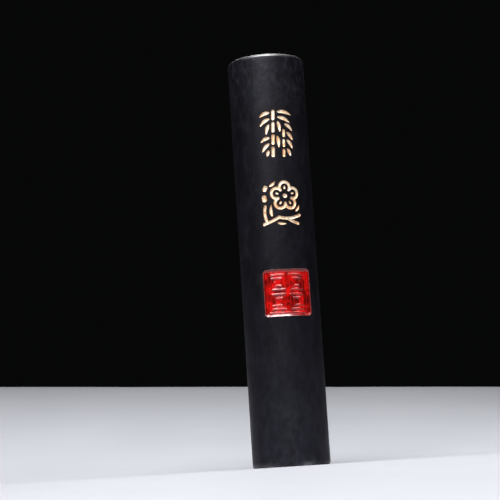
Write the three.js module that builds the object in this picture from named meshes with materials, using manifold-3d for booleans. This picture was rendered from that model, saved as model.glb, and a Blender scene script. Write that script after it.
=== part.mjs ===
// A round ink stick: one moulded cylinder of dried ink with a flat foot and a flat top.
// Its front carries two engraved pictures filled with gold pigment, a bamboo above a plum
// branch, and below them a red seal with a raised frame and a raised fret.
// Millimetres, +Z up. The stick stands on its foot, centred on the Z axis, facing -Y.

import * as THREE from "three";
import { mergeVertices } from "three/addons/utils/BufferGeometryUtils.js";
import Module from "manifold-3d";

const wasm = await Module();
wasm.setup();

// The stick of ink.
const STICK_RADIUS = 11.5;
const STICK_LENGTH = 122;
const FOOT_CHAMFER = 0.5;
const TOP_ROUNDING = 1.2;
const TOP_ROUNDING_STEPS = 5;
const FACETS_ROUND = 96;
const CUT_OVERSHOOT = 1; // how far a cutting shape reaches past the surface
const WELD_DISTANCE = 1e-4; // corners of a geometry nearer than this are one corner

// The engraved strokes and the gold pigment in them.
const GROOVE_DEPTH = 0.5;
const FILL_GAP = 0.05; // between a fill and the wall of its groove
const FILL_BELOW_SKIN = 0.15; // a fill stops short of the surface of the ink
const LEAF_TIP = 0.38; // width of a leaf's tip as a share of its widest place
const LEAF_STEM = 0.62; // width where the leaf begins, as the same share
const LEAF_WIDEST_AT = 0.35; // share of the leaf's length
const STRAIGHT_STEP = 3; // longest facet along a straight stroke
const CURVED_STEP = 0.8; // and along a curved one
const ROD_FACETS = 8; // round a stroke's rod
const ROD_END_STEPS = 2; // over each of its round ends

// Where the decoration sits: heights above the foot.
const BAMBOO_HEIGHT = 97.6;
const PLUM_HEIGHT = 76.8;
const SEAL_HEIGHT = 50.25;
const SEAL_SIDE_SHIFT = 0.4; // the seal was pressed a little right of the pictures

// The bamboo, drawn flat about its own centre: x to the right, y up.
const BAMBOO_REACH = 7.2; // from the centre to its foot and to its top
const JOINT_GAP = 0.42; // bare ink between two sections of a stalk
const STALK_HALF_WIDTH = 0.58;
const STALK_SECTIONS = 4;
const CANE_HALF_WIDTH = 0.5;
const CANE_SECTIONS = 3;
const BAMBOO_LEAF_HALF_WIDTH = 0.6;

// The plum branch, drawn flat in the same way.
const BLOSSOM_X = 1.2;
const BLOSSOM_Y = 2;
const PETALS = 5;
const PETAL_RADIUS = 1.55;
const PETAL_DISTANCE = 2.6; // from the blossom's heart to a petal's centre
const PETAL_OPENING = 58; // degrees to each side of the heart that stay open
const BRANCH_HALF_WIDTH = 0.52;
const STAMEN_HALF_WIDTH = 0.38;
const STAMEN_INWARD = 0.3; // from a petal's centre to the ends of its stamen's centre line
const STAMEN_OUTWARD = 0.1;
const HEART_HALF_WIDTH = 0.68;
const HEART_REACH = 0.1;
const BUD_HALF_WIDTHS = [0.82, 0.74];
const PLUM_LEAF_HALF_WIDTHS = [0.55, 0.46, 0.5, 0.5];

// The seal.
const SEAL_WIDTH = 14.9;
const SEAL_TALL = 13.9;
const SEAL_CORNER = 1.2;
const SEAL_CORNER_FACETS = 4;
const SEAL_DEPTH = 0.75;
const SEAL_GROUND_THICK = 0.15;
const SEAL_RELIEF_THICK = 0.3;
const SEAL_GAP = 0.05;
const SEAL_LINE = 0.5; // width of the raised lines
const FRAME_INSET = { left: 1.0, right: 1.2, top: 0.3, bottom: 0.8 };
const FRAME_CORNER = 0.6;
const FRET_MARGIN = 0.6; // between the frame and the fret
const FRET_ALLEY = 0.9; // between two spirals of the fret
const FRET_PITCH = 1.1;

const INK = new THREE.MeshStandardMaterial({ color: 0x17181c, roughness: 0.45, metalness: 0 });
const GOLD = new THREE.MeshStandardMaterial({ color: 0xd2a860, roughness: 0.42, metalness: 0.75 });
const RED = new THREE.MeshStandardMaterial({ color: 0xb5130f, roughness: 0.3, metalness: 0 });

const stick = new THREE.Group();

// A closed three.js geometry as a solid that can be joined and cut.
function solidOf(geometry) {
  geometry.deleteAttribute("normal");
  geometry.deleteAttribute("uv");
  const merged = mergeVertices(geometry, WELD_DISTANCE);
  return new wasm.Manifold(
    new wasm.Mesh({
      numProp: 3,
      vertProperties: merged.attributes.position.array,
      triVerts: new Uint32Array(merged.index.array),
    }),
  );
}

function addPiece(name, solid, material) {
  const { vertProperties, triVerts } = solid.getMesh();
  const geometry = new THREE.BufferGeometry();
  geometry.setAttribute("position", new THREE.BufferAttribute(vertProperties, 3));
  geometry.setIndex(new THREE.BufferAttribute(triVerts, 1));
  geometry.computeVertexNormals();
  const mesh = new THREE.Mesh(geometry, material);
  mesh.name = name;
  stick.add(mesh);
}

function joined(solids) {
  return solids.reduce((whole, next) => whole.add(next));
}

// A solid of revolution about Z from (radius, height) points that start and end on the axis.
function turned(points) {
  const profile = points.map(([radius, height]) => new THREE.Vector2(radius, height));
  return solidOf(new THREE.LatheGeometry(profile, FACETS_ROUND).rotateX(Math.PI / 2));
}

function plainCylinder(radius) {
  return turned([[0, 0], [radius, 0], [radius, STICK_LENGTH], [0, STICK_LENGTH]]);
}

function inkBlank() {
  const profile = [
    [0, 0],
    [STICK_RADIUS - FOOT_CHAMFER, 0],
    [STICK_RADIUS, FOOT_CHAMFER],
  ];
  for (let step = 0; step <= TOP_ROUNDING_STEPS; step += 1) {
    const turn = (step / TOP_ROUNDING_STEPS) * (Math.PI / 2);
    profile.push([
      STICK_RADIUS - TOP_ROUNDING * (1 - Math.cos(turn)),
      STICK_LENGTH - TOP_ROUNDING * (1 - Math.sin(turn)),
    ]);
  }
  profile.push([0, STICK_LENGTH]);
  return turned(profile);
}

// ---- Strokes. Each is drawn on a flat sheet (x right, y up) and then wrapped round the stick.

function line(x0, y0, x1, y1) {
  return new THREE.LineCurve(new THREE.Vector2(x0, y0), new THREE.Vector2(x1, y1));
}

function bend(x0, y0, controlX, controlY, x1, y1) {
  return new THREE.QuadraticBezierCurve(
    new THREE.Vector2(x0, y0),
    new THREE.Vector2(controlX, controlY),
    new THREE.Vector2(x1, y1),
  );
}

// A curve between two places that stands off their chord by bulge, to the left when positive.
function bow(x0, y0, x1, y1, bulge) {
  const chord = Math.hypot(x1 - x0, y1 - y0);
  const controlX = (x0 + x1) / 2 - ((y1 - y0) / chord) * 2 * bulge;
  const controlY = (y0 + y1) / 2 + ((x1 - x0) / chord) * 2 * bulge;
  return bend(x0, y0, controlX, controlY, x1, y1);
}

function evenWidth() {
  return 1;
}

// Full at LEAF_WIDEST_AT, narrower where the leaf begins and narrowest at its tip.
function leafWidth(along) {
  if (along < LEAF_WIDEST_AT) {
    const rise = Math.sin((along / LEAF_WIDEST_AT) * (Math.PI / 2));
    return LEAF_STEM + (1 - LEAF_STEM) * rise;
  }
  const fall = Math.cos(((along - LEAF_WIDEST_AT) / (1 - LEAF_WIDEST_AT)) * (Math.PI / 2));
  return LEAF_TIP + (1 - LEAF_TIP) * fall;
}

function stroke(curve, halfWidth, width = evenWidth) {
  return { curve, halfWidth, width };
}

// A round-ended rod that follows the stroke, half in and half out of the surface of the ink.
// inset makes it thinner all round.
function rod({ curve, halfWidth, width }, centreHeight, inset) {
  const side = halfWidth - inset;
  const depth = Math.min(GROOVE_DEPTH, halfWidth) - inset;
  const length = curve.getLength();
  const steps = Math.ceil(length / (curve.isLineCurve ? STRAIGHT_STEP : CURVED_STEP));
  const geometry = new THREE.CapsuleGeometry(1, length, ROD_END_STEPS, ROD_FACETS, steps);
  const position = geometry.attributes.position;
  for (let i = 0; i < position.count; i += 1) {
    const run = position.getY(i) + length / 2;
    const along = THREE.MathUtils.clamp(run / length, 0, 1);
    const scale = width(along);
    const place = curve.getPointAt(along);
    const heading = curve.getTangentAt(along);
    const past = (run - along * length) * side * scale;
    const across = position.getX(i) * side * scale;
    const flatX = place.x + heading.x * past + heading.y * across;
    const flatY = place.y + heading.y * past - heading.x * across;
    const radius = STICK_RADIUS + position.getZ(i) * depth * scale;
    const turn = flatX / STICK_RADIUS;
    position.setXYZ(i, radius * Math.sin(turn), -radius * Math.cos(turn), centreHeight + flatY);
  }
  return solidOf(geometry);
}

function bambooPieces() {
  const pieces = new Map();

  function sections(name, foot, tip, count, halfWidth) {
    const whole = line(foot.x, foot.y, tip.x, tip.y);
    const length = whole.getLength();
    const space = 2 * halfWidth + JOINT_GAP; // between the ends of two centre lines
    const section = (length - 2 * halfWidth - (count - 1) * space) / count;
    for (let i = 0; i < count; i += 1) {
      const from = halfWidth + i * (section + space);
      const start = whole.getPointAt(from / length);
      const end = whole.getPointAt((from + section) / length);
      pieces.set(`${name}_${i + 1}`, [stroke(line(start.x, start.y, end.x, end.y), halfWidth)]);
    }
  }
  const low = -BAMBOO_REACH;
  sections("bamboo_stalk", { x: -1.55, y: low }, { x: -0.75, y: BAMBOO_REACH },
    STALK_SECTIONS, STALK_HALF_WIDTH);
  sections("bamboo_cane", { x: 1.75, y: low }, { x: 2.15, y: 1.3 },
    CANE_SECTIONS, CANE_HALF_WIDTH);

  const leaves = [
    bow(-2.1, 6.25, -4.8, 5.1, -0.3),
    bow(-2.2, 4.35, -4.8, 2.4, -0.3),
    bow(-2.35, 2.45, -3.15, -0.1, -0.2),
    bow(-2.55, -1.35, -4.85, -2.45, -0.25),
    bow(-2.65, -3.2, -4.6, -5.35, -0.22),
    bow(-2.8, -5.35, -3.3, -6.7, -0.05),
    bow(0.55, 3.35, 0.95, 0.6, 0.1),
    bow(0.15, -1.1, 0.35, -4.1, 0.1),
    bow(0.75, 6.5, 4.75, 5.6, 0.35),
    bow(0.75, 4.85, 4.2, 3.25, 0.3),
    bow(2.8, 2.7, 4.85, 0.9, 0.22),
    bow(3.3, 0.1, 4.85, -1.9, 0.2),
    bow(3.2, -2.2, 4.65, -4.4, 0.2),
    bow(3.1, -4.9, 3.9, -6.7, 0.1),
  ];
  leaves.forEach((curve, i) => {
    pieces.set(`bamboo_leaf_${i + 1}`, [stroke(curve, BAMBOO_LEAF_HALF_WIDTH, leafWidth)]);
  });
  return pieces;
}

function plumPieces() {
  const pieces = new Map();
  const outline = [];
  for (let i = 0; i < PETALS; i += 1) {
    const outward = Math.PI / 2 + (i * 2 * Math.PI) / PETALS;
    const half = Math.PI - THREE.MathUtils.degToRad(PETAL_OPENING);
    const x = BLOSSOM_X + PETAL_DISTANCE * Math.cos(outward);
    const y = BLOSSOM_Y + PETAL_DISTANCE * Math.sin(outward);
    const petal = new THREE.ArcCurve(x, y, PETAL_RADIUS, outward - half, outward + half);
    outline.push(stroke(petal, BRANCH_HALF_WIDTH));
    const wayX = Math.cos(outward);
    const wayY = Math.sin(outward);
    const stamen = line(
      x - STAMEN_INWARD * wayX,
      y - STAMEN_INWARD * wayY,
      x + STAMEN_OUTWARD * wayX,
      y + STAMEN_OUTWARD * wayY,
    );
    pieces.set(`plum_stamen_${i + 1}`, [stroke(stamen, STAMEN_HALF_WIDTH)]);
  }
  pieces.set("plum_blossom", outline);
  const heart = line(BLOSSOM_X - HEART_REACH, BLOSSOM_Y, BLOSSOM_X + HEART_REACH, BLOSSOM_Y);
  pieces.set("plum_heart", [stroke(heart, HEART_HALF_WIDTH)]);

  const branches = [
    bend(-5.55, -6.15, -2.9, -5.4, -0.9, -4.3),
    bend(-0.9, -4.3, 2.3, -5.3, 5.6, -3.7),
    bend(-4.4, -5.8, -5.6, -3.4, -4.9, -0.9),
    bend(1.7, -4.75, 2.9, -5.6, 4.9, -6.2),
  ];
  pieces.set("plum_branch", branches.map((curve) => stroke(curve, BRANCH_HALF_WIDTH)));

  const buds = [line(-4.95, 1.15, -5.05, 1.75), line(-4.75, 4.15, -4.5, 4.65)];
  buds.forEach((curve, i) => {
    pieces.set(`plum_bud_${i + 1}`, [stroke(curve, BUD_HALF_WIDTHS[i])]);
  });

  const leaves = [
    bow(-3.05, -3.7, -3.1, -0.7, 0.2),
    bow(-1.35, -6.05, 1.1, -6.3, -0.05),
    bow(-3.15, 5.1, -1.6, 6.3, -0.15),
    bow(4.5, -2.45, 5.65, -0.9, -0.1),
  ];
  leaves.forEach((curve, i) => {
    pieces.set(`plum_leaf_${i + 1}`, [stroke(curve, PLUM_LEAF_HALF_WIDTHS[i], leafWidth)]);
  });
  return pieces;
}

// ---- The seal. Its outlines are drawn as seen from the front and pressed straight in along +Y,
// so a place at arc x from the seal's middle is seen at the sine of its turn round the stick.

function seenFromFront(arc) {
  return STICK_RADIUS * Math.sin(arc / STICK_RADIUS);
}

function roundedRectangle(left, right, bottom, top, corner) {
  const shape = new THREE.Shape();
  shape.absarc(right - corner, bottom + corner, corner, -Math.PI / 2, 0);
  shape.absarc(right - corner, top - corner, corner, 0, Math.PI / 2);
  shape.absarc(left + corner, top - corner, corner, Math.PI / 2, Math.PI);
  shape.absarc(left + corner, bottom + corner, corner, Math.PI, 1.5 * Math.PI);
  return shape;
}

// The shape, drawn in X and Z, as a prism from the middle of the stick out past its front.
function pressed(shape) {
  const options = {
    depth: STICK_RADIUS + CUT_OVERSHOOT,
    bevelEnabled: false,
    curveSegments: SEAL_CORNER_FACETS,
  };
  return solidOf(new THREE.ExtrudeGeometry(shape, options).rotateX(Math.PI / 2));
}

// What a prism cuts out of the layer between two depths below the surface of the ink.
function layer(prism, lowest, highest) {
  const outer = plainCylinder(STICK_RADIUS - highest);
  return prism.intersect(outer).subtract(plainCylinder(STICK_RADIUS - lowest));
}

function sealSolids() {
  const edges = {
    left: SEAL_SIDE_SHIFT - SEAL_WIDTH / 2,
    right: SEAL_SIDE_SHIFT + SEAL_WIDTH / 2,
    bottom: SEAL_HEIGHT - SEAL_TALL / 2,
    top: SEAL_HEIGHT + SEAL_TALL / 2,
  };

  // A rectangle inside the seal's edge by the given insets.
  function plate(inset, corner) {
    return pressed(roundedRectangle(
      seenFromFront(edges.left + inset.left),
      seenFromFront(edges.right - inset.right),
      edges.bottom + inset.bottom,
      edges.top - inset.top,
      corner,
    ));
  }
  function insetBy(inset, more) {
    const { left, right, top, bottom } = inset;
    return { left: left + more, right: right + more, top: top + more, bottom: bottom + more };
  }
  const noInset = { left: 0, right: 0, top: 0, bottom: 0 };
  const recess = plate(noInset, SEAL_CORNER);
  const groundPlate = plate(insetBy(noInset, 2 * SEAL_GAP), SEAL_CORNER - 2 * SEAL_GAP);
  const framePlate = plate(FRAME_INSET, FRAME_CORNER);
  const inside = insetBy(FRAME_INSET, SEAL_LINE);
  const frameHole = plate(inside, FRAME_CORNER / 2);

  const groundFoot = SEAL_DEPTH - SEAL_GAP;
  const groundTop = groundFoot - SEAL_GROUND_THICK;
  const reliefFoot = groundTop - SEAL_GAP;
  const reliefTop = reliefFoot - SEAL_RELIEF_THICK;

  const pieces = new Map();
  pieces.set("seal_ground", layer(groundPlate, groundFoot, groundTop));
  pieces.set("seal_frame", layer(framePlate.subtract(frameHole), reliefFoot, reliefTop));

  // The fret: one square spiral in each quarter, its coil starting at the outer corner.
  const margin = insetBy(inside, FRET_MARGIN + SEAL_LINE / 2);
  const low = edges.bottom + margin.bottom;
  const high = edges.top - margin.top;
  const near = edges.left + margin.left;
  const far = edges.right - margin.right;
  const wide = (far - near - FRET_ALLEY - SEAL_LINE) / 2;
  const tall = (high - low - FRET_ALLEY - SEAL_LINE) / 2;

  function spiral(cornerX, cornerZ, stepX, stepZ) {
    const bars = [];
    let x = cornerX;
    let z = cornerZ;
    let across = wide;
    let down = tall;
    let wayX = stepX;
    let wayZ = stepZ;
    for (let leg = 0; across > 0 && down > 0; leg += 1) {
      const sideways = leg % 2 === 0;
      const nextX = sideways ? x + wayX * across : x;
      const nextZ = sideways ? z : z + wayZ * down;
      const half = SEAL_LINE / 2;
      const bar = new THREE.Shape([
        new THREE.Vector2(seenFromFront(Math.min(x, nextX) - half), Math.min(z, nextZ) - half),
        new THREE.Vector2(seenFromFront(Math.max(x, nextX) + half), Math.min(z, nextZ) - half),
        new THREE.Vector2(seenFromFront(Math.max(x, nextX) + half), Math.max(z, nextZ) + half),
        new THREE.Vector2(seenFromFront(Math.min(x, nextX) - half), Math.max(z, nextZ) + half),
      ]);
      bars.push(pressed(bar));
      if (sideways) {
        wayX = -wayX;
        across -= leg > 0 ? FRET_PITCH : 0;
      } else {
        wayZ = -wayZ;
        down -= FRET_PITCH;
      }
      x = nextX;
      z = nextZ;
    }
    return layer(joined(bars), reliefFoot, reliefTop);
  }
  pieces.set("seal_fret_top_left", spiral(near, high, 1, -1));
  pieces.set("seal_fret_top_right", spiral(far, high, -1, -1));
  pieces.set("seal_fret_bottom_left", spiral(near, low, 1, 1));
  pieces.set("seal_fret_bottom_right", spiral(far, low, -1, 1));
  return { cut: layer(recess, SEAL_DEPTH, -CUT_OVERSHOOT), pieces };
}

// ---- Assembly.

const pictures = [
  [BAMBOO_HEIGHT, bambooPieces()],
  [PLUM_HEIGHT, plumPieces()],
];
const insideOfFills = plainCylinder(STICK_RADIUS - FILL_BELOW_SKIN);
const grooves = [];
const fills = new Map();
for (const [height, pieces] of pictures) {
  for (const [name, strokes] of pieces) {
    grooves.push(joined(strokes.map((one) => rod(one, height, 0))));
    const fill = joined(strokes.map((one) => rod(one, height, FILL_GAP)));
    fills.set(name, fill.intersect(insideOfFills));
  }
}
const seal = sealSolids();

addPiece("ink_body", inkBlank().subtract(joined(grooves)).subtract(seal.cut), INK);
for (const [name, solid] of fills) addPiece(name, solid, GOLD);
for (const [name, solid] of seal.pieces) addPiece(name, solid, RED);

export default stick;
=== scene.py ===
import math

import bpy
import numpy as np
from mathutils import Matrix, Vector, noise


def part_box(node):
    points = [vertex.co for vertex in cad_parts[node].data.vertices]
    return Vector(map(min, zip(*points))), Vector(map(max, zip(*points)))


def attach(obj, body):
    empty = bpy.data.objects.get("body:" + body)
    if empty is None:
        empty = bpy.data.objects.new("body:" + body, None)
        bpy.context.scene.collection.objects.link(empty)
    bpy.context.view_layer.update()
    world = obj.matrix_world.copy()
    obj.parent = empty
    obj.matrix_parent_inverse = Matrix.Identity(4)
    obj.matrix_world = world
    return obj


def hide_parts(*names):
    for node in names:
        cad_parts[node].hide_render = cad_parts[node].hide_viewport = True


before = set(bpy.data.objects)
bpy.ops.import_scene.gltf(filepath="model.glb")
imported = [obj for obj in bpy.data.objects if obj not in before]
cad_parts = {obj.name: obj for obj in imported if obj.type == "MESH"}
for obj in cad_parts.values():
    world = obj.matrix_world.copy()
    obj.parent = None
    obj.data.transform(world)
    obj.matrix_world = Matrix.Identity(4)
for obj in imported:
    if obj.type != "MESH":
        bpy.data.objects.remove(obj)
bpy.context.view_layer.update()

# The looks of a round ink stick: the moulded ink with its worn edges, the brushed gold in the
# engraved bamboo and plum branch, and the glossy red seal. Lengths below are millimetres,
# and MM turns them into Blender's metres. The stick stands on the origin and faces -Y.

MM = 0.001
body_low, body_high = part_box("ink_body")

# The stick of ink.
RADIUS = (body_high.x - body_low.x) / 2 / MM
LENGTH = (body_high.z - body_low.z) / MM
GIRTH = 2 * math.pi * RADIUS
FOOT_EDGE = 0.5
FOOT_SHARPNESS = 1.5  # 1 makes the foot's edge a quarter round and 2 a flat chamfer
TOP_EDGE = 1.2
EDGE_WANDER = 0.35  # how much rounder or sharper an edge gets along its way, as a share
EDGE_WANDER_SIZE = 9
FOOT_NICKS = 12
TOP_NICKS = 10
NICK_SPREADS = (0.3, 0.9)
NICK_SIZES = (0.1, 0.35)
WAVE_DEPTH = 0.05  # the surface wanders inwards in broad waves
WAVE_SIZE = 16
PIT_DEPTH = 0.006  # and in small pits
PIT_SIZE = 2.2

# Where the ends' edges are rubbed shiny: places round the stick, from its front, and spreads.
TOP_RUBBED = [(-2.6, 4.4), (13, 3), (24, 6), (39, 4), (54, 5)]
FOOT_RUBBED = [(-18, 5), (-9, 2.5), (3, 2), (15, 4), (30, 6)]
LEAST_RUBBED = 0.08
EDGE_WEAR_INWARD = 1.6  # how far from the side the worn edge reaches across an end

# Distances from an end over which its wear, its marks of handling and its dust fade out.
TOP_WEAR_FADE = (0.15, 1.1)
FOOT_WEAR_FADE = (0.1, 0.75)
TOP_HANDLED_FADE = (3, 22)
FOOT_HANDLED_FADE = (1, 14)
FOOT_HANDLED_MOST = 0.6
DUST_FADE = (-5, 50)  # from below the foot, so that the foot itself isn't fully dusty
SCUFF_PLACE = (-1, 13)  # a scuffed patch low on the front: arc and height, then its spreads
SCUFF_SPREAD = (4.5, 5.5)

# Heights of the decoration above the foot.
BAMBOO_HEIGHT = 97.6
PLUM_HEIGHT = 76.8
SEAL_HEIGHT = 50.25
SEAL_SIDE_SHIFT = 0.4

# Mesh spacing, fine over the decoration and coarse elsewhere.
FINE_STEP = 0.12
COARSE_STEP = 0.9
FINE_ARC = (-6.7, 8.4)
FINE_BANDS = [(SEAL_HEIGHT, 7.3), (PLUM_HEIGHT, 7.1), (BAMBOO_HEIGHT, 7.6)]  # middle, half height
PLAIN_ENDS = (1.6, 2)  # lengths left at the foot and at the top for their worn edges
END_FACE_RINGS = (0.3, 0.55, 0.75, 0.9)  # as shares of the radii below
FOOT_FACE_RADIUS = RADIUS - 1
TOP_FACE_RADIUS = RADIUS - 1.5
SIDE_RADIUS = RADIUS * 0.9  # what is further out than this belongs to the side or an edge
FOOT_EDGE_RINGS = 7
TOP_EDGE_RINGS = 9
PICTURE_ARC = (-7, 8.5)  # no stroke reaches past this arc
SEAL_ARC = (-8.5, 9)  # nor the seal past this one
DECORATION_HALF_HEIGHT = 8

# The engraved strokes and the gold in them.
GROOVE_DEPTH = 0.45
GROOVE_LIP = 0.12  # how softly a groove's wall rounds over into the surface
FILL_STEP = 0.09
FILL_INSET = 0.05  # bare ink between a groove's lip and the gold
FILL_RAGGED = 0.045  # how far the gold's edge strays
FILL_RAGGED_SIZE = 0.55
FILL_THIN = 0.012  # thickness at its edge
FILL_THICK = 0.035  # and how much more it has, at most, away from the edge
FILL_GRAIN_SIZE = 0.3
FILL_THICKENS = (0.05, 0.3)  # distances inwards from the groove's lip where the gold thickens
FILL_BRIGHTENS = (0.03, 0.28)  # and where it turns from its dark edge colour, partly thin gold and partly painted shade, to its full one
FILL_ROOT = 0.06  # how far it goes into the ink below
SKIN_CLEARANCE = 0.003  # pigment stops this far below the plain surface
SHEET_MARGIN = 0.9  # bare sheet round a stroke when it is meshed
CORNER_CLEARANCE = 0.02  # share of a cell's side that an outline keeps from its ends

# The bamboo, drawn flat about its own centre.
BAMBOO_REACH = 7.2
JOINT_GAP = 0.42
STALK_HALF_WIDTH = 0.58
STALK_SECTIONS = 4
CANE_HALF_WIDTH = 0.5
CANE_SECTIONS = 3
LEAF_HALF_WIDTH = 0.6
LEAF_TIP = 0.38  # widths as shares of the widest place
LEAF_STEM = 0.62
LEAF_WIDEST_AT = 0.35  # share of the leaf's length

# The plum branch.
BLOSSOM_X = 1.2
BLOSSOM_Y = 2.0
PETALS = 5
PETAL_DISTANCE = 2.6
PETAL_RADIUS = 1.55
PETAL_HALF_TURN = 122  # degrees drawn to each side of straight out
BRANCH_HALF_WIDTH = 0.52
STAMEN_HALF_WIDTH = 0.38
STAMEN_INWARD = 0.3  # from a petal's centre to the ends of its stamen's centre line
STAMEN_OUTWARD = 0.1
HEART_HALF_WIDTH = 0.68
HEART_REACH = 0.1
LOW_BUD_HALF_WIDTH = 0.82
HIGH_BUD_HALF_WIDTH = 0.74

# The seal.
SEAL_WIDTH = 14.9
SEAL_TALL = 13.9
SEAL_CORNER = 1.2
SEAL_DEPTH = 0.55
SEAL_WALL = 0.7  # width of the sloping wall of the recess
SEAL_WALL_SHARES = (0.7, 0.3)  # of the wall's depth: a straight slope, and one that eases in and out
SEAL_UNDERCUT = 0.09  # how much deeper the ink is sunk than the recess, to lie under the pigment
SEAL_UNDERCUT_START = (-0.02, 0.1)  # distances inwards from the recess's lip where that comes in
SEAL_LINE = 0.5
SEAL_BEAD = 0.38  # from the middle of a raised line to where it meets the ground
SEAL_CREST = 0.08  # how round a raised line is along its top
SEAL_RELIEF = 0.19
SEAL_LINE_HEIGHT = 0.88  # height of a raised line, as a share of the relief
SEAL_LINE_UNEVEN = 0.24  # and how much it changes along the line
SEAL_LINE_UNEVEN_SIZE = 1.3
SEAL_WANDER = 0.09  # how far the raised lines stray from straight
SEAL_WANDER_SIZE = 1.7
SEAL_STEP = 0.085
SEAL_COAT = 0.015  # how far the pigment's surface stands above the plain recess
SEAL_ROOT = 0.14  # and how far its underside lies below
SEAL_SWELL = 0.012  # how uneven the pigment's surface is, broadly
SEAL_SWELL_SIZE = 1.1
SEAL_RIPPLE = 0.004  # and finely
SEAL_RIPPLE_SIZE = 0.3
SEAL_UNEVEN_DEPTHS = (0.1, 0.4)  # depths in the recess over which that comes in
SEAL_WALL_FADE = (0.55, 1)  # shares of the full depth over which the wall's darker colour, partly thin pigment and partly painted shade, fades out
SEAL_LIP_FADE = (0.08, 0.3)  # distances inwards from the lip over which its pale painted highlight fades out
SEAL_INSET = 0.03  # bare ink between the recess's lip and the pigment
SEAL_RAGGED = 0.035  # how far the pigment's edge strays
SEAL_RAGGED_SIZE = 0.7
SEAL_MARGIN = 0.1  # bare sheet round the seal when it is meshed
FRAME_INSET = {"left": 1.0, "right": 1.2, "top": 0.3, "bottom": 0.8}
NO_INSET = {"left": 0, "right": 0, "top": 0, "bottom": 0}
FRAME_CORNER = 0.6
FRET_MARGIN = 0.6
FRET_ALLEY = 0.9
FRET_PITCH = 1.1

# The camera, level with the foot and looking a little up.
CAMERA_AZIMUTH = -10.35  # degrees round from the decoration, towards -X
CAMERA_DISTANCE = 466.2
CAMERA_HEIGHT = 1.0
CAMERA_AIM = (-8.1, 1.5, 64.9)
CAMERA_ROLL = -3.65
CAMERA_LENS = 113.1

# The floor: level under the stick, falling towards the camera and rising behind to a crest.
FLOOR_REACH = 1600
FLOOR_CELLS = 160
FLOOR_CROWDING = 2.2  # how strongly its cells crowd towards the stick, where 1 spaces them evenly
FLOOR_SLOPE = math.tan(math.radians(9))
FLOOR_FALL_PAST_CREST = math.tan(math.radians(3))
SLOPE_STARTS = 20  # distances from the stick, over which the slope comes in
SLOPE_FULL = 90
CREST_STARTS = 270
CREST_ENDS = 350
LEAN_STARTS = 30  # distances behind the stick, over which a sideways lean comes in
LEAN_FULL = 250
LEAN_REACH = 500  # and how far it goes on to each side
SHADE_BEHIND = 0.55  # how much greyer the floor gets far behind the stick
SHADE_BEHIND_RANGE = (60, 400)
SHADE_BEFORE = 0.1  # and in front of it
SHADE_BEFORE_RANGE = (0, 80)

# The softboxes: azimuth and elevation from the middle of the stick, distance, width, height, watts.
SOFTBOXES = {
    "roof": (-10, 76, 424, 760, 200, 2.6),
    "roof_middle": (-12, 76, 420, 300, 200, 2.6),
    "key": (-25, 34, 480, 320, 140, 2.4),
    "fill": (4, 42, 480, 160, 140, 0.5),
    "back": (170, 55, 480, 300, 200, 0.7),
}
SKY = (0.9, 0.95, 1, 1)
SKY_STRENGTH = 0.0025

# Colours, as linear red, green and blue.
INK_DEEP = (0.0008, 0.0008, 0.0013)
INK_CLOUD = (0.0046, 0.0046, 0.0068)
INK_SMUDGE = (0.0105, 0.0105, 0.0148)
INK_DUST = (0.014, 0.0137, 0.0195)
INK_HANDLED = (0.016, 0.016, 0.0215)
INK_WORN = (0.035, 0.035, 0.043)
INK_GLOSS_TINT = (0.88, 0.87, 1)
GOLD_PALE = (0.97, 0.86, 0.67)
GOLD_WARM = (0.88, 0.56, 0.33)
GOLD_COPPERY = (0.56, 0.32, 0.16)
# Dark brown at a groove's edge: partly thin gold over the ink, partly painted shade.
GOLD_THIN_AND_SHADED = (0.24, 0.11, 0.042)
RED_BRIGHT = (0.55, 0.005, 0.004)
RED_DEEP = (0.1, 0.002, 0.0015)
RED_SPOT = (0.04, 0.002, 0.002)
RED_RAISED = (0.26, 0.005, 0.004)
# The walls' dark red: partly thin pigment over the ink, partly painted shade.
RED_WALL_SHADED = (0.09, 0.002, 0.0015)
# Pale pink along the seal's lip: a painted highlight.
RED_LIP_HIGHLIGHT = (0.3, 0.075, 0.075)
FLOOR_DIM = (0.3, 0.306, 0.335)
FLOOR_PALE = (0.322, 0.328, 0.358)
FLOOR_SHADED = (0.1, 0.102, 0.11)

FAR = 1e3  # further than anything on the flat sheet
HAIRLINE = 1e-6  # half width of a stroke that is only a centre line


# ---- The camera.


def around(azimuth, elevation, distance, centre=(0, 0, 0)):
    """A place at that azimuth (0 is -Y, 90 is +X) and elevation from centre, in millimetres."""
    turn, rise = math.radians(azimuth), math.radians(elevation)
    flat = distance * math.cos(rise)
    offset = Vector((flat * math.sin(turn), -flat * math.cos(turn), distance * math.sin(rise)))
    return Vector(centre) + offset


def facing(place, target, roll=0.0):
    """A matrix at place, in millimetres, that looks at target with its top up, then rolls."""
    ahead = (Vector(target) - Vector(place)).normalized()
    turned = ahead.to_track_quat("-Z", "Y").to_matrix().to_4x4()
    moved = Matrix.Translation(Vector(place) * MM)
    return moved @ turned @ Matrix.Rotation(math.radians(roll), 4, "Z")


def add_camera():
    data = bpy.data.cameras.new("camera")
    data.lens = CAMERA_LENS
    data.clip_start = 0.01
    data.clip_end = 20
    camera = bpy.data.objects.new("camera", data)
    place = around(CAMERA_AZIMUTH, 0, CAMERA_DISTANCE, (0, 0, CAMERA_HEIGHT))
    camera.matrix_world = facing(place, CAMERA_AIM, CAMERA_ROLL)
    bpy.context.scene.collection.objects.link(camera)
    bpy.context.scene.camera = camera


# ---- Strokes on a flat sheet: u runs right along the surface, v runs up.


def line(x0, y0, x1, y1):
    return np.array([(x0, y0), (x1, y1)], float)


def bend(x0, y0, control_x, control_y, x1, y1, count=13):
    t = np.linspace(0, 1, count)[:, None]
    start, control, end = np.array([[x0, y0], [control_x, control_y], [x1, y1]], float)
    return start * (1 - t) ** 2 + control * 2 * t * (1 - t) + end * t**2


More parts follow.
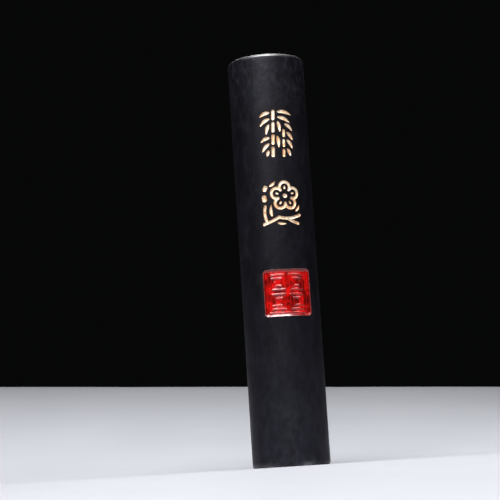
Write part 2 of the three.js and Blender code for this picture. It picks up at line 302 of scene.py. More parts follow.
def bow(x0, y0, x1, y1, bulge):
    """A curve between two places that stands off their chord by bulge, to the left if positive."""
    chord = math.hypot(x1 - x0, y1 - y0)
    control_x = (x0 + x1) / 2 - (y1 - y0) / chord * 2 * bulge
    control_y = (y0 + y1) / 2 + (x1 - x0) / chord * 2 * bulge
    return bend(x0, y0, control_x, control_y, x1, y1)


def arc(x, y, radius, start, end, count=25):
    turn = np.linspace(start, end, count)
    return np.stack([x + radius * np.cos(turn), y + radius * np.sin(turn)], -1)


def even(points, half_width):
    """A stroke of one width: its points and its half width at each."""
    return points, np.full(len(points), half_width)


def leaf(points, half_width):
    """A stroke that widens quickly and then runs out to a fine tip."""
    along = np.linspace(0, 1, len(points))
    rise = np.sin(np.clip(along / LEAF_WIDEST_AT, 0, 1) * math.pi / 2)
    fall = np.cos(np.clip((along - LEAF_WIDEST_AT) / (1 - LEAF_WIDEST_AT), 0, 1) * math.pi / 2)
    stem = LEAF_STEM + (1 - LEAF_STEM) * rise
    tip = LEAF_TIP + (1 - LEAF_TIP) * fall
    return points, half_width * np.where(along < LEAF_WIDEST_AT, stem, tip)


def stalk_sections(name, foot, tip, count, half_width):
    """The sections of a bamboo stalk, one short stroke each, with bare ink at the joints."""
    space = 2 * half_width + JOINT_GAP
    foot, tip = np.array(foot), np.array(tip)
    length = np.linalg.norm(tip - foot)
    way = (tip - foot) / length
    section = (length - 2 * half_width - (count - 1) * space) / count
    pieces = {}
    for i in range(count):
        start = foot + way * (half_width + i * (section + space))
        end = start + way * section
        pieces[f"{name}_{i + 1}"] = [even(np.array([start, end]), half_width)]
    return pieces


def bamboo():
    """The bamboo's pieces, by name: each is a list of strokes that touch."""
    stalk_foot, stalk_tip = (-1.55, -BAMBOO_REACH), (-0.75, BAMBOO_REACH)
    cane_foot, cane_tip = (1.75, -BAMBOO_REACH), (2.15, 1.3)
    pieces = stalk_sections(
        "bamboo_stalk", stalk_foot, stalk_tip, STALK_SECTIONS, STALK_HALF_WIDTH
    )
    pieces.update(
        stalk_sections("bamboo_cane", cane_foot, cane_tip, CANE_SECTIONS, CANE_HALF_WIDTH)
    )
    leaves = [
        bow(-2.1, 6.25, -4.8, 5.1, -0.3),
        bow(-2.2, 4.35, -4.8, 2.4, -0.3),
        bow(-2.35, 2.45, -3.15, -0.1, -0.2),
        bow(-2.55, -1.35, -4.85, -2.45, -0.25),
        bow(-2.65, -3.2, -4.6, -5.35, -0.22),
        bow(-2.8, -5.35, -3.3, -6.7, -0.05),
        bow(0.55, 3.35, 0.95, 0.6, 0.1),
        bow(0.15, -1.1, 0.35, -4.1, 0.1),
        bow(0.75, 6.5, 4.75, 5.6, 0.35),
        bow(0.75, 4.85, 4.2, 3.25, 0.3),
        bow(2.8, 2.7, 4.85, 0.9, 0.22),
        bow(3.3, 0.1, 4.85, -1.9, 0.2),
        bow(3.2, -2.2, 4.65, -4.4, 0.2),
        bow(3.1, -4.9, 3.9, -6.7, 0.1),
    ]
    for i, curve in enumerate(leaves):
        pieces[f"bamboo_leaf_{i + 1}"] = [leaf(curve, LEAF_HALF_WIDTH)]
    return pieces


def plum():
    """The plum branch's pieces, by name."""
    pieces = {"plum_blossom": []}
    half_turn = math.radians(PETAL_HALF_TURN)
    for i in range(PETALS):
        outward = math.pi / 2 + i * 2 * math.pi / PETALS
        way_x, way_y = math.cos(outward), math.sin(outward)
        x, y = BLOSSOM_X + PETAL_DISTANCE * way_x, BLOSSOM_Y + PETAL_DISTANCE * way_y
        petal = arc(x, y, PETAL_RADIUS, outward - half_turn, outward + half_turn)
        pieces["plum_blossom"].append(even(petal, BRANCH_HALF_WIDTH))
        stamen = line(
            x - STAMEN_INWARD * way_x,
            y - STAMEN_INWARD * way_y,
            x + STAMEN_OUTWARD * way_x,
            y + STAMEN_OUTWARD * way_y,
        )
        pieces[f"plum_stamen_{i + 1}"] = [even(stamen, STAMEN_HALF_WIDTH)]
    heart = line(BLOSSOM_X - HEART_REACH, BLOSSOM_Y, BLOSSOM_X + HEART_REACH, BLOSSOM_Y)
    pieces["plum_heart"] = [even(heart, HEART_HALF_WIDTH)]
    branches = [
        bend(-5.55, -6.15, -2.9, -5.4, -0.9, -4.3),
        bend(-0.9, -4.3, 2.3, -5.3, 5.6, -3.7),
        bend(-4.4, -5.8, -5.6, -3.4, -4.9, -0.9),
        bend(1.7, -4.75, 2.9, -5.6, 4.9, -6.2),
    ]
    pieces["plum_branch"] = [even(branch, BRANCH_HALF_WIDTH) for branch in branches]
    buds = [
        even(line(-4.95, 1.15, -5.05, 1.75), LOW_BUD_HALF_WIDTH),
        even(line(-4.75, 4.15, -4.5, 4.65), HIGH_BUD_HALF_WIDTH),
    ]
    for i, bud in enumerate(buds):
        pieces[f"plum_bud_{i + 1}"] = [bud]
    leaves = [
        leaf(bow(-3.05, -3.7, -3.1, -0.7, 0.2), 0.55),
        leaf(bow(-1.35, -6.05, 1.1, -6.3, -0.05), 0.46),
        leaf(bow(-3.15, 5.1, -1.6, 6.3, -0.15), 0.5),
        leaf(bow(4.5, -2.45, 5.65, -0.9, -0.1), 0.5),
    ]
    for i, one in enumerate(leaves):
        pieces[f"plum_leaf_{i + 1}"] = [one]
    return pieces


def carve(strokes, u, v):
    """At each u, v: the signed distance to the strokes' edge, negative inside, and the depth."""
    edge = np.full(u.shape, FAR)
    depth = np.zeros(u.shape)
    for points, halves in strokes:
        for start, end, half_start, half_end in zip(points[:-1], points[1:], halves[:-1], halves[1:]):
            way = end - start
            run = (u - start[0]) * way[0] + (v - start[1]) * way[1]
            along = np.clip(run / (way @ way), 0, 1)
            half = half_start + (half_end - half_start) * along
            off = np.hypot(u - start[0] - along * way[0], v - start[1] - along * way[1])
            edge = np.minimum(edge, off - half)
            bowl = 1 - (off / half) ** 2
            soft = (bowl + np.sqrt(bowl**2 + GROOVE_LIP**2)) / 2
            depth = np.maximum(depth, np.minimum(GROOVE_DEPTH, half) * soft)
    return edge, depth


# ---- Relief of the seal, on the same flat sheet.


def smooth(value, low, high):
    """Goes from 0 at low to 1 at high, level at both."""
    t = np.clip((value - low) / (high - low), 0, 1)
    return t * t * (3 - 2 * t)


def seal_edges(inset):
    """Left, right, bottom and top of the seal's rectangle, each moved in by its inset."""
    return (
        SEAL_SIDE_SHIFT - SEAL_WIDTH / 2 + inset["left"],
        SEAL_SIDE_SHIFT + SEAL_WIDTH / 2 - inset["right"],
        SEAL_HEIGHT - SEAL_TALL / 2 + inset["bottom"],
        SEAL_HEIGHT + SEAL_TALL / 2 - inset["top"],
    )


def inset_by(inset, more):
    return {side: value + more for side, value in inset.items()}


def rounded_rectangle(u, v, edges, corner):
    """Signed distance to the outline of a rounded rectangle, negative inside."""
    left, right, bottom, top = edges
    past_u = np.abs(u - (left + right) / 2) - ((right - left) / 2 - corner)
    past_v = np.abs(v - (bottom + top) / 2) - ((top - bottom) / 2 - corner)
    outside = np.hypot(np.maximum(past_u, 0), np.maximum(past_v, 0))
    return outside + np.minimum(np.maximum(past_u, past_v), 0) - corner


def square_spiral(x, y, step_x, step_y, wide, tall):
    """The corners of a square spiral that starts at an outer corner and winds inwards."""
    points = [(x, y)]
    across, down, leg = wide, tall, 0
    while across > 0 and down > 0:
        if leg % 2 == 0:
            x += step_x * across
            step_x = -step_x
            across -= FRET_PITCH if leg else 0
        else:
            y += step_y * down
            step_y = -step_y
            down -= FRET_PITCH
        points.append((x, y))
        leg += 1
    return np.array(points)


def fret_spirals():
    """The centre lines of the fret: one square spiral in each quarter of the seal."""
    margin = FRET_MARGIN + SEAL_LINE * 1.5  # past the frame's own line, to the middle of the fret's
    left, right, bottom, top = seal_edges(inset_by(FRAME_INSET, margin))
    wide = (right - left - FRET_ALLEY - SEAL_LINE) / 2
    tall = (top - bottom - FRET_ALLEY - SEAL_LINE) / 2
    return [
        square_spiral(left, top, 1, -1, wide, tall),
        square_spiral(right, top, -1, -1, wide, tall),
        square_spiral(left, bottom, 1, 1, wide, tall),
        square_spiral(right, bottom, -1, 1, wide, tall),
    ]


def distance_to_lines(lines, u, v):
    nearest = np.full(u.shape, FAR)
    for points in lines:
        edge, _ = carve([even(points, HAIRLINE)], u, v)
        nearest = np.minimum(nearest, edge)
    return nearest


def seal_recess(u, v):
    """Signed distance to the seal's outline, and the depth of its plain recess."""
    outline = rounded_rectangle(u, v, seal_edges(NO_INSET), SEAL_CORNER)
    slope = np.clip(-outline / SEAL_WALL, 0, 1)
    straight, eased_out = SEAL_WALL_SHARES
    return outline, SEAL_DEPTH * (straight * slope + eased_out * smooth(slope, 0, 1))


def seal_relief(u, v):
    """How much of a raised line there is at u, v, from 0 on the ground to about 1 on its top."""
    uneven = SEAL_LINE_UNEVEN * noise_at(u, v, SEAL_LINE_UNEVEN_SIZE, seed=49)
    height_share = SEAL_LINE_HEIGHT + uneven
    u = u + SEAL_WANDER * noise_at(u, v, SEAL_WANDER_SIZE, seed=47)
    v = v + SEAL_WANDER * noise_at(u, v, SEAL_WANDER_SIZE, seed=48)
    frame_middle = seal_edges(inset_by(FRAME_INSET, SEAL_LINE / 2))
    frame_line = np.abs(rounded_rectangle(u, v, frame_middle, FRAME_CORNER))
    fret_line = distance_to_lines(fret_spirals(), u, v)
    nearest = np.minimum(frame_line, fret_line)
    rounded = np.hypot(nearest, SEAL_CREST) - SEAL_CREST
    return height_share * np.clip(1 - rounded / (SEAL_BEAD - SEAL_CREST), 0, 1)


# ---- Meshes.


def wrap(u, v, radius):
    """Flat places wound round the stick, as points in metres."""
    turn = u / RADIUS
    return np.stack([radius * np.sin(turn), -radius * np.cos(turn), v], -1) * MM


def noise_at(u, v, size, seed):
    """Smooth noise from -1 to 1 over the surface of the stick, in features of that size."""
    points = wrap(u, v, np.full(u.shape, RADIUS)).reshape(-1, 3) / (size * MM)
    values = [noise.noise(Vector(p) + Vector((seed, 2 * seed, 3 * seed))) for p in points]
    return np.array(values).reshape(u.shape)


def add_mesh(name, points, faces, material):
    mesh = bpy.data.meshes.new(name)
    mesh.from_pydata([tuple(p) for p in points], [], faces)
    mesh.materials.append(material)
    mesh.polygons.foreach_set("use_smooth", np.ones(len(faces), bool))
    mesh.update()
    piece = bpy.data.objects.new(name, mesh)
    bpy.context.scene.collection.objects.link(piece)
    return piece


def add_attribute(piece, name, values):
    attribute = piece.data.attributes.new(name, "FLOAT", "POINT")
    attribute.data.foreach_set("value", np.asarray(values, np.float32))


def spaced(start, end, step):
    return np.linspace(start, end, max(2, round((end - start) / step) + 1))


# ---- The stick of ink.


def stick_columns():
    """Places round the stick, close together across the decoration."""
    fine_from, fine_to = FINE_ARC
    behind = spaced(fine_to, GIRTH + fine_from, COARSE_STEP)[1:-1]
    return np.concatenate([spaced(fine_from, fine_to, FINE_STEP), behind])


def stick_rows():
    """Heights along the stick's side, close together across the decoration."""
    foot_length, top_length = PLAIN_ENDS
    low = foot_length
    rows = []
    for centre, half in FINE_BANDS:
        rows.append(spaced(low, centre - half, COARSE_STEP)[:-1])
        rows.append(spaced(centre - half, centre + half, FINE_STEP)[:-1])
        low = centre + half
    rows.append(spaced(low, LENGTH - top_length, COARSE_STEP))
    return np.concatenate(rows)


def apart_round(u, place):
    """How far u is from a place, along the surface the short way round."""
    return (u - place + GIRTH / 2) % GIRTH - GIRTH / 2


def worn_edge(columns, size, seed, nicks):
    """How round an end's edge is at each column: a slow wander and a few small nicks."""
    wander = noise_at(columns, np.zeros(columns.shape), EDGE_WANDER_SIZE, seed)
    width = size * (1 + EDGE_WANDER * wander)
    rng = np.random.default_rng(seed)
    for _ in range(nicks):
        place = rng.uniform(0, GIRTH)
        spread = rng.uniform(*NICK_SPREADS)
        deep = rng.uniform(*NICK_SIZES)
        width += deep * np.exp(-((apart_round(columns, place) / spread) ** 2))
    return width


def rubbed_at(u, places):
    """How rubbed an end's edge is round the stick, from hardly at all to fully, at 1."""
    most = np.zeros(u.shape)
    for place, spread in places:
        most = np.maximum(most, np.exp(-((apart_round(u, place) / spread) ** 2)))
    return LEAST_RUBBED + (1 - LEAST_RUBBED) * most


def stick_rings(columns):
    """Rings of places from the foot up: radii and heights, with a row for each ring."""
    foot = worn_edge(columns, FOOT_EDGE, seed=3, nicks=FOOT_NICKS)
    top = worn_edge(columns, TOP_EDGE, seed=5, nicks=TOP_NICKS)
    level = np.zeros(columns.shape)
    rings = []
    for share in END_FACE_RINGS:
        rings.append((share * FOOT_FACE_RADIUS + level, level))
    for turn in np.linspace(0, math.pi / 2, FOOT_EDGE_RINGS):
        out = math.sin(turn) ** FOOT_SHARPNESS
        up = 1 - math.cos(turn) ** FOOT_SHARPNESS
        rings.append((RADIUS - foot * (1 - out), foot * up))
    for height in stick_rows():
        rings.append((RADIUS + level, height + level))
    for turn in np.linspace(0, math.pi / 2, TOP_EDGE_RINGS):
        rings.append((RADIUS - top * (1 - math.cos(turn)), LENGTH - top * (1 - math.sin(turn))))
    for share in reversed(END_FACE_RINGS):
        rings.append((share * TOP_FACE_RADIUS + level, LENGTH + level))
    return np.stack([radius for radius, _ in rings]), np.stack([height for _, height in rings])


def decorated(u, height, centre, arc_range):
    """Which places a decoration with that middle could reach."""
    low, high = arc_range
    return (np.abs(height - centre) < DECORATION_HALF_HEIGHT) & (u > low) & (u < high)


def sunk(u, height, pictures):
    """How far the surface lies below a plain cylinder: its waves, the grooves and the recess."""
    waves = 0.5 + 0.5 * noise_at(u, height, WAVE_SIZE, seed=7)
    pits = 1 + noise_at(u, height, PIT_SIZE, seed=11)
    sink = WAVE_DEPTH * waves + PIT_DEPTH * pits
    for centre, pieces in pictures:
        near = decorated(u, height, centre, PICTURE_ARC)
        for strokes in pieces.values():
            _, depth = carve(strokes, u[near], height[near] - centre)
            sink[near] = np.maximum(sink[near], depth)
    near = decorated(u, height, SEAL_HEIGHT, SEAL_ARC)
    outline, recess = seal_recess(u[near], height[near])
    sink[near] = np.maximum(sink[near], recess + SEAL_UNDERCUT * smooth(-outline, *SEAL_UNDERCUT_START))
    return sink


def ring_faces(ring_count, count):
    """Faces between neighbouring rings, and fans to a middle point at each end."""
    faces = []
    for i in range(ring_count - 1):
        for j in range(count):
            k = (j + 1) % count
            faces.append((i * count + j, i * count + k, (i + 1) * count + k, (i + 1) * count + j))
    last = (ring_count - 1) * count
    foot_middle = ring_count * count
    top_middle = foot_middle + 1
    for j in range(count):
        k = (j + 1) % count
        faces.append((foot_middle, k, j))
        faces.append((top_middle, last + j, last + k))
    return faces


def ink_wear(u, height, radius):
    """How rubbed, handled and dusty the ink is at each place, from 0 to 1."""
    from_top = LENGTH - height
    top_wear = (1 - smooth(from_top, *TOP_WEAR_FADE)) * rubbed_at(u, TOP_RUBBED)
    foot_wear = (1 - smooth(height, *FOOT_WEAR_FADE)) * rubbed_at(u, FOOT_RUBBED)
    wear = np.maximum(top_wear, foot_wear) * (radius > RADIUS - EDGE_WEAR_INWARD)
    handled_top = 1 - smooth(from_top, *TOP_HANDLED_FADE)
    handled_foot = FOOT_HANDLED_MOST * (1 - smooth(height, *FOOT_HANDLED_FADE))
    off_u = (u - SCUFF_PLACE[0]) / SCUFF_SPREAD[0]
    off_v = (height - SCUFF_PLACE[1]) / SCUFF_SPREAD[1]
    scuffed = np.exp(-(off_u**2) - off_v**2)
    handled = np.maximum(np.maximum(handled_top, handled_foot), scuffed)
    dust = 1 - smooth(height, *DUST_FADE)
    return {"wear": wear, "handled": handled, "dust": dust}


def ink_body(pictures, material):
    """The whole stick as one closed surface, with its hollows sunk into it."""
    columns = stick_columns()
    radius, height = stick_rings(columns)
    from_front = np.where(columns > GIRTH / 2, columns - GIRTH, columns)
    u = np.broadcast_to(from_front, radius.shape)
    radius = radius - sunk(u, height, pictures) * (radius > SIDE_RADIUS)

    middles = [[0, 0, 0], [0, 0, LENGTH * MM]]
    points = np.concatenate([wrap(u, height, radius).reshape(-1, 3), middles])
    piece = add_mesh("ink_stick", points, ring_faces(*radius.shape), material)
    for name, values in ink_wear(u, height, radius).items():
        add_attribute(piece, name, np.append(values, [0, 0]))
    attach(piece, "root")
    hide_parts("ink_body")


# ---- The pigments: closed skins cut from a grid.


def clip_cells(field):
    """The part of a grid where field is negative, as corners and polygons.

    A corner is (row, column) in grid steps, with a fraction where the outline crosses a side."""
    inside = field < 0
    corners = {}
    polygons = []

    def corner(key, row, column):
        return corners.setdefault(key, (len(corners), row, column))[0]

    rows, columns = field.shape
    for i in range(rows - 1):
        for j in range(columns - 1):
            ring = [(i, j), (i, j + 1), (i + 1, j + 1), (i + 1, j)]
            if not any(inside[p] for p in ring):
                continue
            polygon = []
            for a, b in zip(ring, ring[1:] + ring[:1]):
                if inside[a]:
                    polygon.append(corner(a, *a))
                if inside[a] != inside[b]:
                    first, second = min(a, b), max(a, b)
                    share = field[first] / (field[first] - field[second])
                    share = min(max(share, CORNER_CLEARANCE), 1 - CORNER_CLEARANCE)
                    row = first[0] + share * (second[0] - first[0])
                    column = first[1] + share * (second[1] - first[1])
                    polygon.append(corner((first, second), row, column))
            polygons.append(tuple(polygon))
    places = np.array([(row, column) for _, row, column in corners.values()], float)
    return places, polygons


def shell(name, u_range, v_range, step, field_of, top_of, bottom_of, material):
    """A closed skin over the part of the sheet where field_of is negative, between two depths."""
    us = spaced(*u_range, step)
    vs = spaced(*v_range, step)
    u, v = np.meshgrid(us, vs)
    places, polygons = clip_cells(field_of(u, v))
    flat_u = us[0] + places[:, 1] * (us[1] - us[0])
    flat_v = vs[0] + places[:, 0] * (vs[1] - vs[0])
    upper = wrap(flat_u, flat_v, RADIUS - np.maximum(top_of(flat_u, flat_v), SKIN_CLEARANCE))
    lower = wrap(flat_u, flat_v, RADIUS - bottom_of(flat_u, flat_v))
    count = len(places)

    rim = {}  # sides that only one polygon has
    for polygon in polygons:
        for a, b in zip(polygon, polygon[1:] + polygon[:1]):
            if (b, a) in rim:
                del rim[(b, a)]
            else:
                rim[(a, b)] = True
    faces = list(polygons)
    faces += [tuple(count + p for p in reversed(polygon)) for polygon in polygons]
    faces += [(b, a, count + a, count + b) for a, b in rim]
    piece = add_mesh(name, np.concatenate([upper, lower]), faces, material)
    return piece, flat_u, flat_v


def gold_fill(name, strokes, centre, material, seed):
    """The gold in one engraved piece, thin and ragged at its edge."""
    every = np.concatenate([points for points, _ in strokes])
    low, high = every.min(0) - SHEET_MARGIN, every.max(0) + SHEET_MARGIN

    def field(u, v):
        edge, _ = carve(strokes, u, v)
        return edge + FILL_INSET + FILL_RAGGED * noise_at(u, v + centre, FILL_RAGGED_SIZE, seed)

    def top(u, v):
        edge, groove = carve(strokes, u, v)
        grain = 0.5 + 0.5 * noise_at(u, v + centre, FILL_GRAIN_SIZE, seed + 1)
        return groove - FILL_THIN - FILL_THICK * smooth(-edge, *FILL_THICKENS) * grain

    def bottom(u, v):
        _, groove = carve(strokes, u, v)
        return groove + FILL_ROOT

    u_range, v_range = (low[0], high[0]), (low[1], high[1])
    piece, u, v = shell(name, u_range, v_range, FILL_STEP, field, top, bottom, material)
    piece.data.transform(Matrix.Translation((0, 0, centre * MM)))
    edge, _ = carve(strokes, u, v)
    # How far in from the groove's edge, which the material uses to darken the gold there: partly thin
    # pigment, partly painted shade.
    inner = smooth(-edge, *FILL_BRIGHTENS)
    add_attribute(piece, "inner", np.concatenate([inner, inner]))
    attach(piece, "root")
    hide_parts(name.replace("gold_", ""))


def seal_coat(material):
    """The one coat of red over the seal's ground, walls and raised lines."""
    left, right, bottom_edge, top_edge = seal_edges(NO_INSET)

    def field(u, v):
        outline, _ = seal_recess(u, v)
        return outline + SEAL_INSET + SEAL_RAGGED * noise_at(u, v, SEAL_RAGGED_SIZE, seed=41)

    def top(u, v):
        _, recess = seal_recess(u, v)
        relief = seal_relief(u, v) * np.clip(recess / SEAL_DEPTH, 0, 1)
        broad = SEAL_SWELL * noise_at(u, v, SEAL_SWELL_SIZE, seed=43)
        fine = SEAL_RIPPLE * noise_at(u, v, SEAL_RIPPLE_SIZE, seed=44)
        uneven = (broad + fine) * smooth(recess, *SEAL_UNEVEN_DEPTHS)
        return recess - SEAL_RELIEF * relief + uneven - SEAL_COAT

    def bottom(u, v):
        _, recess = seal_recess(u, v)
        return recess + SEAL_ROOT

    u_range = (left - SEAL_MARGIN, right + SEAL_MARGIN)
    v_range = (bottom_edge - SEAL_MARGIN, top_edge + SEAL_MARGIN)
    piece, u, v = shell("seal_coat", u_range, v_range, SEAL_STEP, field, top, bottom, material)
    outline, recess = seal_recess(u, v)
    relief = seal_relief(u, v)
    # How far down the wall a place is, which the material uses for the walls' darker red: partly thin
    # pigment, partly painted shade.
    wall = 1 - smooth(recess / SEAL_DEPTH, *SEAL_WALL_FADE)
    # Nearness to the lip, which the material uses for a pale painted highlight there.
    lip = 1 - smooth(-outline, *SEAL_LIP_FADE)
    for name, values in (("relief", relief), ("wall", wall), ("lip", lip)):
        add_attribute(piece, name, np.concatenate([values, values]))
    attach(piece, "root")
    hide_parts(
        "seal_ground", "seal_frame", "seal_fret_top_left", "seal_fret_top_right",
        "seal_fret_bottom_left", "seal_fret_bottom_right",
    )


# ---- Materials.


class Look:
    """A material, with short ways to make the nodes that it is mixed from."""

    def __init__(self, name):
        self.material = bpy.data.materials.new(name)
        self.material.use_nodes = True
        self.nodes = self.material.node_tree.nodes
        self.links = self.material.node_tree.links
        self.shader = self.nodes["Principled BSDF"]

    def put(self, value, socket):
        """Links an output to a socket, or sets the socket to a number or a colour."""
        if isinstance(value, tuple):
            socket.default_value = (*value, 1)
        elif isinstance(value, (int, float)):
            socket.default_value = value
        else:
            self.links.new(value, socket)

    def shade(self, **values):
        """Gives the shader's sockets, named with _ for a space, their values."""
        for name, value in values.items():
            self.put(value, self.shader.inputs[name.replace("_", " ")])

    def noise(self, size, stretch=(1, 1, 1), detail=4.0, roughness=0.55, swirl=0.0):
        """Noise in features of that size in millimetres, longer along an axis by its stretch."""
        place = self.nodes.new("ShaderNodeTexCoord")
        mapping = self.nodes.new("ShaderNodeMapping")
        mapping.inputs["Scale"].default_value = [1 / (size * MM * s) for s in stretch]
        texture = self.nodes.new("ShaderNodeTexNoise")
        texture.inputs["Scale"].default_value = 1
        texture.inputs["Detail"].default_value = detail
        texture.inputs["Roughness"].default_value = roughness
        texture.inputs["Distortion"].default_value = swirl
        self.links.new(place.outputs["Object"], mapping.inputs["Vector"])
        self.links.new(mapping.outputs["Vector"], texture.inputs["Vector"])
        return texture.outputs["Fac"]

    def attribute(self, name):
        node = self.nodes.new("ShaderNodeAttribute")
        node.attribute_name = name
        return node.outputs["Fac"]

    def ranged(self, value, from_low, from_high, to_low=0, to_high=1):
        """The value moved from one range to another, and held inside it."""
        node = self.nodes.new("ShaderNodeMapRange")
        node.inputs["From Min"].default_value = from_low
        node.inputs["From Max"].default_value = from_high
        node.inputs["To Min"].default_value = to_low
        node.inputs["To Max"].default_value = to_high
        self.links.new(value, node.inputs["Value"])
        return node.outputs["Result"]

    def blended(self, share, first, second):
        """A colour between two, each a socket or three numbers."""
        node = self.nodes.new("ShaderNodeMix")
        node.data_type = "RGBA"
        self.put(share, node.inputs["Factor"])
        for slot, colour in (("A", first), ("B", second)):
            socket = next(s for s in node.inputs if s.name == slot and s.type == "RGBA")
            self.put(colour, socket)
        return next(s for s in node.outputs if s.type == "RGBA")

    def calculated(self, operation, first, second):
        node = self.nodes.new("ShaderNodeMath")
        node.operation = operation
        self.put(first, node.inputs[0])
        self.put(second, node.inputs[1])
        return node.outputs[0]

    def bumped(self, layers):
        """Chains bumps, each (height, distance in millimetres), into the shader's normal."""
        normal = None
        for height, distance in layers:
            node = self.nodes.new("ShaderNodeBump")
            node.inputs["Distance"].default_value = distance * MM
            self.links.new(height, node.inputs["Height"])
            if normal:
                self.links.new(normal, node.inputs["Normal"])
            normal = node.outputs["Normal"]
        self.links.new(normal, self.shader.inputs["Normal"])


def ink_material():
    """Blue-black ink: cloudy and smudged, dusty towards the foot, scuffed and worn at the ends."""
    look = Look("dried_ink")
    clouds = look.noise(8, (1, 1, 1.5), detail=5, roughness=0.6, swirl=0.5)
    smudges = look.noise(3.0, (1, 1, 1.9), detail=5, roughness=0.62, swirl=0.4)
    streaks = look.noise(0.7, (1, 1, 26), detail=3)
    scuffs = look.noise(0.55, (1, 1, 1.2), detail=4, roughness=0.65)
    grain = look.noise(0.16, detail=3)
    lumps = look.noise(2.4, (1, 1, 1.3), detail=3)
    flecks = look.noise(1.7, (1, 1, 1.5), detail=4, roughness=0.62, swirl=0.3)
    wear = look.attribute("wear")
    handled = look.attribute("handled")
    dust = look.attribute("dust")

    ink = look.blended(look.ranged(clouds, 0.35, 0.65), INK_DEEP, INK_CLOUD)
    ink = look.blended(look.ranged(smudges, 0.5, 0.74, 0, 0.55), ink, INK_SMUDGE)
    dusty = look.calculated("MULTIPLY", dust, look.ranged(flecks, 0.3, 0.7, 0.25, 1))
    ink = look.blended(dusty, ink, INK_DUST)
    mottled = look.calculated("MULTIPLY", handled, look.ranged(flecks, 0.48, 0.64, 0, 0.5))
    ink = look.blended(mottled, ink, INK_HANDLED)
    worn = look.calculated("MULTIPLY", wear, look.ranged(lumps, 0.35, 0.65))
    ink = look.blended(worn, ink, INK_WORN)

    cloudy = look.ranged(clouds, 0.32, 0.68, 0.55, 0.38)
    streaky = look.calculated("ADD", cloudy, look.ranged(streaks, 0.3, 0.7, -0.04, 0.04))
    roughness = look.calculated("SUBTRACT", streaky, look.calculated("MULTIPLY", wear, 0.18))
    polish = look.calculated("MULTIPLY", wear, look.ranged(lumps, 0.3, 0.55, 0.6, 1))
    look.shade(Base_Color=ink, Roughness=roughness, IOR=1.22, Specular_Tint=INK_GLOSS_TINT)
    look.shade(Coat_Weight=polish, Coat_IOR=2.5, Coat_Roughness=0.27)
    dents = look.calculated("MULTIPLY", handled, scuffs)
    look.bumped([(lumps, 0.08), (smudges, 0.05), (dents, 0.012), (streaks, 0.014), (grain, 0.012)])
    return look.material


def gold_material():
    """Pale gold pigment, coppery in patches, and dark at a groove's edge, partly where it thins out and
    partly as painted shade on the groove's walls.
    """
    look = Look("gold_pigment")
    tints = look.noise(3.2, detail=2)
    patches = look.noise(0.9, detail=5, roughness=0.65)
    grain = look.noise(0.14, detail=2)
    gold = look.blended(look.ranged(tints, 0.44, 0.6), GOLD_PALE, GOLD_WARM)
    gold = look.blended(look.ranged(patches, 0.36, 0.54), GOLD_COPPERY, gold)
    # Dark at the groove's edge: partly thin gold over the ink, partly painted shade on the groove's
    # walls.
    gold = look.blended(look.attribute("inner"), GOLD_THIN_AND_SHADED, gold)
    roughness = look.ranged(grain, 0.3, 0.7, 0.3, 0.5)
    look.shade(Base_Color=gold, Roughness=roughness, Metallic=0.4)
    look.shade(Coat_Weight=0.35, Coat_Roughness=0.3)
    look.bumped([(patches, 0.09), (grain, 0.025)])
    return look.material


def red_material():
    """Glossy red: bright and deep patches, dark spots, walls darkened partly as thin pigment and partly
    as painted shade, and a pale painted highlight along the lip.
    """
    look = Look("red_pigment")
    patches = look.noise(3.4, detail=4, roughness=0.6, swirl=0.4)
    spots = look.noise(0.7, detail=3)
    red = look.blended(look.ranged(patches, 0.44, 0.6), RED_BRIGHT, RED_DEEP)
    red = look.blended(look.ranged(spots, 0.54, 0.64, 0, 0.85), red, RED_SPOT)
    raised = look.ranged(look.attribute("relief"), 0.2, 0.8, 0, 0.75)
    red = look.blended(raised, red, RED_RAISED)
    # The recess's walls are darker: partly thin pigment over the ink, partly painted shade on the
    # walls.
    wall = look.ranged(look.attribute("wall"), 0, 1, 0, 0.8)
    red = look.blended(wall, red, RED_WALL_SHADED)
    # A pale painted highlight along the recess's lip, broken up by the spots.
    patchy = look.ranged(spots, 0.35, 0.6, 0.6, 0.2)
    lip_highlight = look.calculated("MULTIPLY", look.attribute("lip"), patchy)
    red = look.blended(lip_highlight, red, RED_LIP_HIGHLIGHT)
    look.shade(Base_Color=red, Roughness=look.ranged(spots, 0.3, 0.7, 0.24, 0.36), IOR=1.12)
    look.shade(Coat_Weight=1.0, Coat_IOR=1.52, Coat_Roughness=0.06)
    look.bumped([(spots, 0.012)])
    return look.material


def floor_material():
    """A pale matt sheet, faintly uneven, and greyer where its mesh says that it is shaded."""
    look = Look("pale_floor")
    uneven = look.ranged(look.noise(60, detail=3), 0.3, 0.7)
    pale = look.blended(uneven, FLOOR_DIM, FLOOR_PALE)
    tone = look.blended(look.attribute("shaded"), pale, FLOOR_SHADED)
    look.shade(Base_Color=tone, Roughness=0.6)
    return look.material


# ---- Stage and lights.


def eased(run, start, end, slope):
    """A rise that is level up to start, then steepens evenly until end, where it has that slope."""
    past = np.maximum(run - start, 0)
    ramp = end - start
    return slope * np.where(past < ramp, past**2 / (2 * ramp), past - ramp / 2)


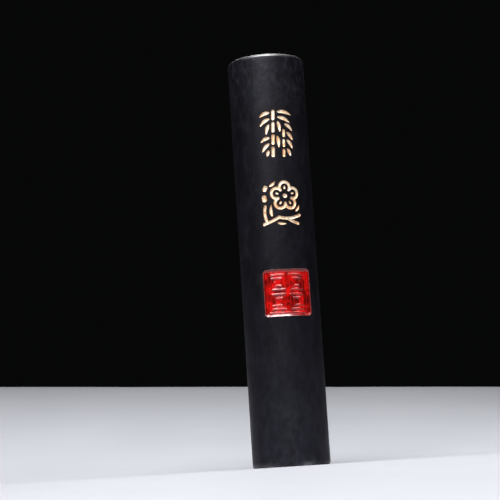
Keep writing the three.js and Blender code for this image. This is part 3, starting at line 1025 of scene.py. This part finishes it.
def add_floor():
    """One large sheet that is level only round the foot."""
    share = np.linspace(-1, 1, FLOOR_CELLS + 1)
    spread = np.sign(share) * np.abs(share) ** FLOOR_CROWDING * FLOOR_REACH
    x, y = np.meshgrid(spread, spread)
    heading = math.radians(CAMERA_AZIMUTH)
    away = x * -math.sin(heading) + y * math.cos(heading)
    aside = x * math.cos(heading) + y * math.sin(heading)
    lift = eased(away, SLOPE_STARTS, SLOPE_FULL, FLOOR_SLOPE)
    lift -= eased(away, CREST_STARTS, CREST_ENDS, FLOOR_SLOPE + FLOOR_FALL_PAST_CREST)
    lift -= eased(-away, SLOPE_STARTS, SLOPE_FULL, FLOOR_SLOPE)
    # The far part leans with the camera's roll, so that its crest is seen level.
    lean = math.tan(math.radians(CAMERA_ROLL))
    lift += np.clip(aside, -LEAN_REACH, LEAN_REACH) * lean * smooth(away, LEAN_STARTS, LEAN_FULL)
    points = np.stack([x, y, lift], -1).reshape(-1, 3) * MM
    count = len(share)
    faces = [
        (i * count + j, i * count + j + 1, (i + 1) * count + j + 1, (i + 1) * count + j)
        for i in range(count - 1)
        for j in range(count - 1)
    ]
    floor = add_mesh("floor", points, faces, floor_material())
    shaded_behind = SHADE_BEHIND * smooth(away, *SHADE_BEHIND_RANGE)
    shaded_before = SHADE_BEFORE * smooth(-away, *SHADE_BEFORE_RANGE)
    add_attribute(floor, "shaded", (shaded_behind + shaded_before).reshape(-1))


def add_softbox(name, azimuth, elevation, distance, width, height, watts):
    data = bpy.data.lights.new(name, "AREA")
    data.shape = "RECTANGLE"
    data.size = width * MM
    data.size_y = height * MM
    data.energy = watts
    centre = (0, 0, LENGTH / 2)
    light = bpy.data.objects.new(name, data)
    light.matrix_world = facing(around(azimuth, elevation, distance, centre), centre)
    bpy.context.scene.collection.objects.link(light)


def add_lights():
    for name, settings in SOFTBOXES.items():
        add_softbox(name, *settings)
    world = bpy.data.worlds.new("studio")
    world.use_nodes = True
    background = world.node_tree.nodes["Background"]
    background.inputs["Color"].default_value = SKY
    background.inputs["Strength"].default_value = SKY_STRENGTH
    bpy.context.scene.world = world
    bpy.context.scene.view_settings.view_transform = "Standard"


# ---- Assembly.

add_camera()
pictures = [(BAMBOO_HEIGHT, bamboo()), (PLUM_HEIGHT, plum())]
ink_body(pictures, ink_material())
gold = gold_material()
seed = 100
for centre, pieces in pictures:
    for name, strokes in pieces.items():
        gold_fill("gold_" + name, strokes, centre, gold, seed)
        seed += 2  # each fill uses two
seal_coat(red_material())
add_floor()
add_lights()
